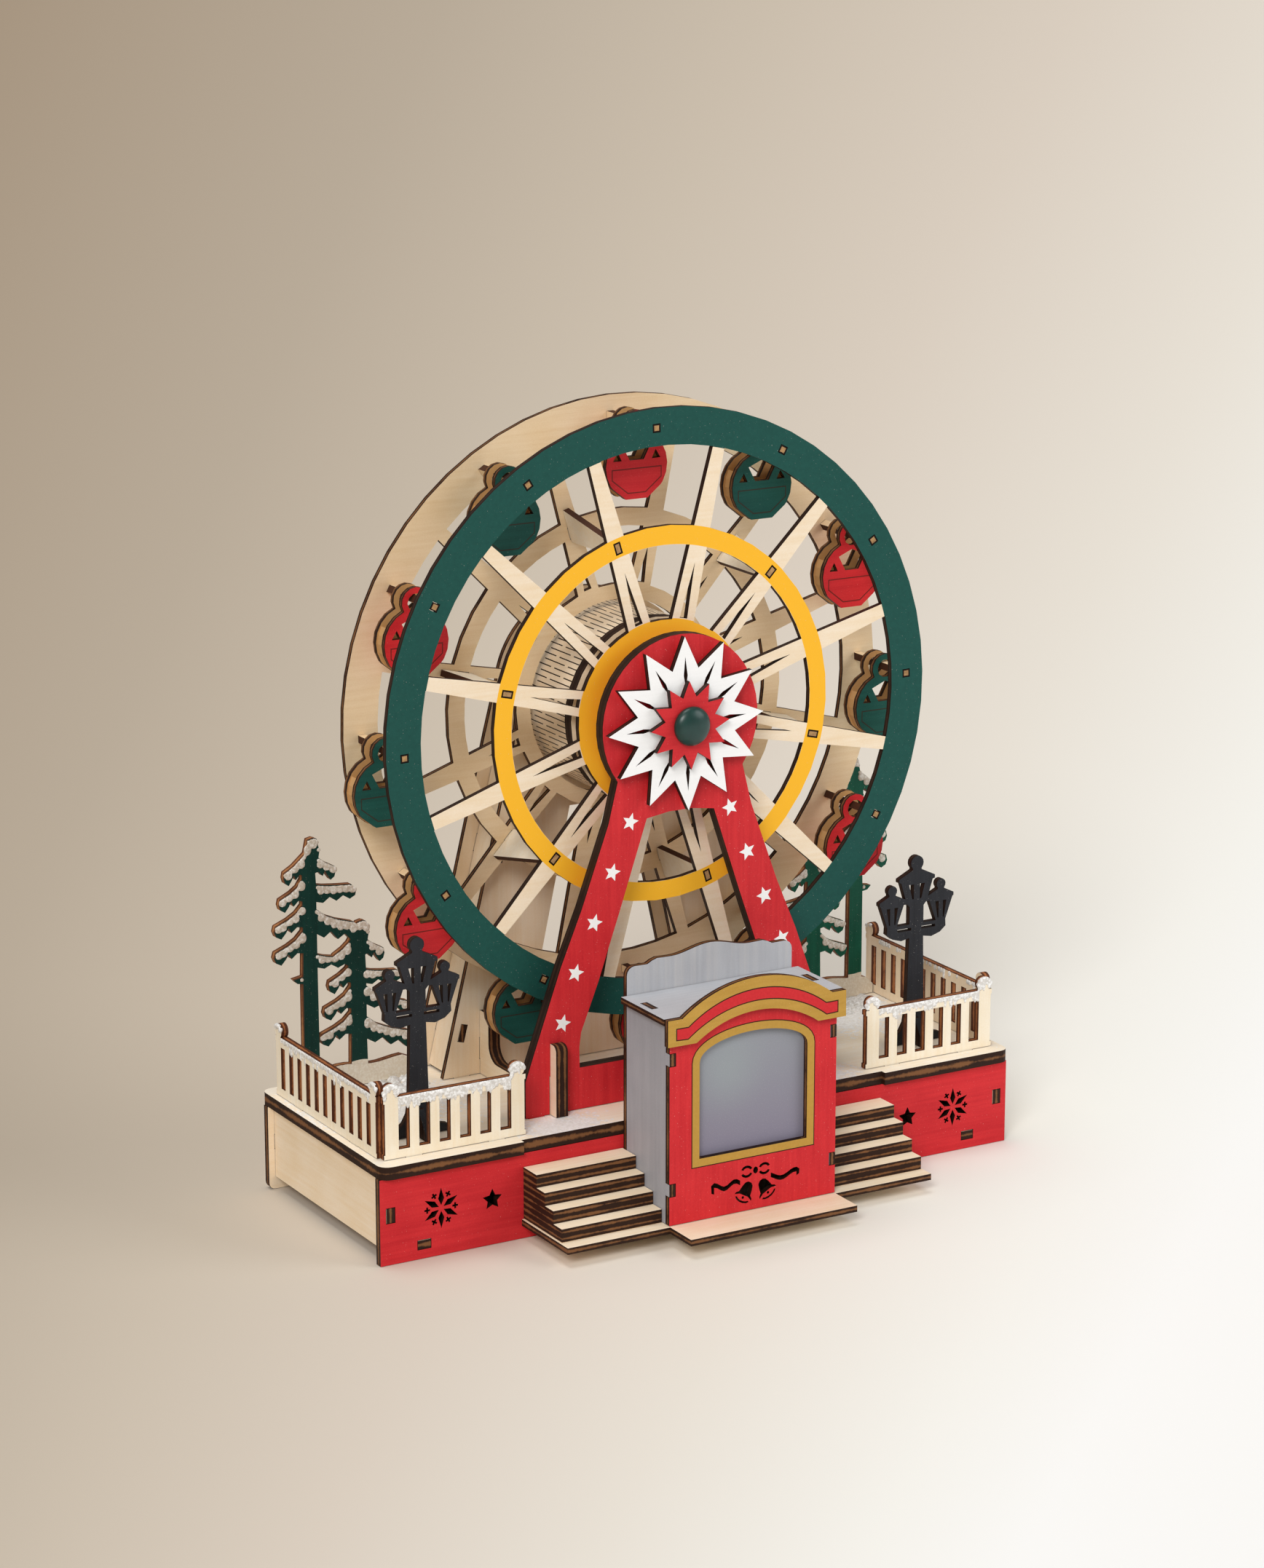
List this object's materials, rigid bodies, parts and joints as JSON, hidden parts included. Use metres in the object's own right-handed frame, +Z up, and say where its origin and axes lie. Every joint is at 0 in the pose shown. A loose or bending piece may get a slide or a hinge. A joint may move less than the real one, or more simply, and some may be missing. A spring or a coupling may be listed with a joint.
{
  "type": "toy ferris wheel",
  "caption": "Light-up wooden ferris wheel cut from plywood: a wheel of hanging gondolas between a front frame and a rear tower, on a base with booth, stairs, fences, lamps and firs.",
  "frame": {"origin": "centre of the footprint's bounding box, at the bottom edge of the base panels", "axes": "+Z up, -Y towards the booth and the stairs at the front, +X to the viewer's right"},
  "size_m": [0.33, 0.1798, 0.359],
  "materials": {
    "birch_ply": "satin",
    "red_paint": "satin painted",
    "green_paint": "satin painted",
    "pine_green_paint": "satin painted",
    "gold_paint": "satin painted",
    "grey_paint": "satin painted",
    "white_paint": "satin painted",
    "black_paint": "satin painted",
    "frosted_acrylic": "frosted",
    "steel": "brushed",
    "grey_plastic": "matte",
    "black_plastic": "matte",
    "circuit_board": "matte"
  },
  "bodies": {
    "frame": {"base_front_panel": "red_paint", "base_back_panel": "birch_ply", "base_side_left": "birch_ply", "base_side_right": "birch_ply", "base_floor": "birch_ply", "deck": "birch_ply", "platform_board": "birch_ply", "stairs_left": "birch_ply", "stairs_right": "birch_ply", "booth_front": "red_paint", "booth_side_left": "grey_paint", "booth_side_right": "grey_paint", "booth_roof": "grey_paint", "booth_back": "grey_paint", "booth_crown": "gold_paint", "booth_pane": "frosted_acrylic", "booth_lamp_board": "circuit_board", "a_frame": "red_paint", "wall_left": "birch_ply", "wall_right": "birch_ply", "tower_front_board": "birch_ply", "tower_back_board": "birch_ply", "tower_side_left": "birch_ply", "tower_side_right": "birch_ply", "drum_housing": "birch_ply", "gear_motor": "grey_plastic", "battery_box": "grey_plastic", "trees_left": "pine_green_paint", "trees_right": "pine_green_paint", "fence_front_left": "birch_ply", "fence_front_right": "birch_ply", "fence_side_left": "birch_ply", "fence_side_right": "birch_ply", "lamp_left": "black_paint", "lamp_right": "black_paint"},
    "wheel": {"wheel_front": "green_paint", "wheel_rear": "birch_ply", "wheel_spacer_1": "birch_ply", "wheel_spacer_2": "birch_ply", "wheel_spacer_3": "birch_ply", "wheel_spacer_4": "birch_ply", "wheel_spacer_5": "birch_ply", "wheel_spacer_6": "birch_ply", "axle": "steel", "knob": "green_paint", "star_white": "white_paint", "star_red": "red_paint"},
    "switch": {"switch_slider": "black_plastic"},
    "gondola_01": {"gondola_01": "red_paint"},
    "gondola_02": {"gondola_02": "green_paint"},
    "gondola_03": {"gondola_03": "red_paint"},
    "gondola_04": {"gondola_04": "green_paint"},
    "gondola_05": {"gondola_05": "red_paint"},
    "gondola_06": {"gondola_06": "green_paint"},
    "gondola_07": {"gondola_07": "red_paint"},
    "gondola_08": {"gondola_08": "green_paint"},
    "gondola_09": {"gondola_09": "red_paint"},
    "gondola_10": {"gondola_10": "green_paint"},
    "gondola_11": {"gondola_11": "red_paint"},
    "gondola_12": {"gondola_12": "green_paint"}
  },
  "joints": [
    {"name": "wheel_spin", "type": "hinge", "parent": "frame", "child": "wheel", "pos_m": [0, 0.0308, 0.2196], "axis": [0, 1, 0], "continuous": true},
    {"name": "gondola_01_swing", "type": "hinge", "parent": "wheel", "child": "gondola_01", "pos_m": [-0.00376, 0.0315, 0.35005], "axis": [0, 1, 0], "continuous": true},
    {"name": "gondola_02_swing", "type": "hinge", "parent": "wheel", "child": "gondola_02", "pos_m": [0.06197, 0.0315, 0.33445], "axis": [0, 1, 0], "continuous": true},
    {"name": "gondola_03_swing", "type": "hinge", "parent": "wheel", "child": "gondola_03", "pos_m": [0.11109, 0.0315, 0.28808], "axis": [0, 1, 0], "continuous": true},
    {"name": "gondola_04_swing", "type": "hinge", "parent": "wheel", "child": "gondola_04", "pos_m": [0.13045, 0.0315, 0.22336], "axis": [0, 1, 0], "continuous": true},
    {"name": "gondola_05_swing", "type": "hinge", "parent": "wheel", "child": "gondola_05", "pos_m": [0.11485, 0.0315, 0.15763], "axis": [0, 1, 0], "continuous": true},
    {"name": "gondola_06_swing", "type": "hinge", "parent": "wheel", "child": "gondola_06", "pos_m": [0.06848, 0.0315, 0.10851], "axis": [0, 1, 0], "continuous": true},
    {"name": "gondola_07_swing", "type": "hinge", "parent": "wheel", "child": "gondola_07", "pos_m": [0.00376, 0.0315, 0.08915], "axis": [0, 1, 0], "continuous": true},
    {"name": "gondola_08_swing", "type": "hinge", "parent": "wheel", "child": "gondola_08", "pos_m": [-0.06197, 0.0315, 0.10475], "axis": [0, 1, 0], "continuous": true},
    {"name": "gondola_09_swing", "type": "hinge", "parent": "wheel", "child": "gondola_09", "pos_m": [-0.11109, 0.0315, 0.15112], "axis": [0, 1, 0], "continuous": true},
    {"name": "gondola_10_swing", "type": "hinge", "parent": "wheel", "child": "gondola_10", "pos_m": [-0.13045, 0.0315, 0.21584], "axis": [0, 1, 0], "continuous": true},
    {"name": "gondola_11_swing", "type": "hinge", "parent": "wheel", "child": "gondola_11", "pos_m": [-0.11485, 0.0315, 0.28157], "axis": [0, 1, 0], "continuous": true},
    {"name": "gondola_12_swing", "type": "hinge", "parent": "wheel", "child": "gondola_12", "pos_m": [-0.06848, 0.0315, 0.33069], "axis": [0, 1, 0], "continuous": true},
    {"name": "switch_slide", "type": "slide", "parent": "frame", "child": "switch", "axis": [1, 0, 0], "range_m": [-0.0025, 0.0025]}
  ],
  "couplings": [
    {"joint": "gondola_01_swing", "follows": "wheel_spin", "ratio": -1},
    {"joint": "gondola_02_swing", "follows": "wheel_spin", "ratio": -1},
    {"joint": "gondola_03_swing", "follows": "wheel_spin", "ratio": -1},
    {"joint": "gondola_04_swing", "follows": "wheel_spin", "ratio": -1},
    {"joint": "gondola_05_swing", "follows": "wheel_spin", "ratio": -1},
    {"joint": "gondola_06_swing", "follows": "wheel_spin", "ratio": -1},
    {"joint": "gondola_07_swing", "follows": "wheel_spin", "ratio": -1},
    {"joint": "gondola_08_swing", "follows": "wheel_spin", "ratio": -1},
    {"joint": "gondola_09_swing", "follows": "wheel_spin", "ratio": -1},
    {"joint": "gondola_10_swing", "follows": "wheel_spin", "ratio": -1},
    {"joint": "gondola_11_swing", "follows": "wheel_spin", "ratio": -1},
    {"joint": "gondola_12_swing", "follows": "wheel_spin", "ratio": -1}
  ]
}
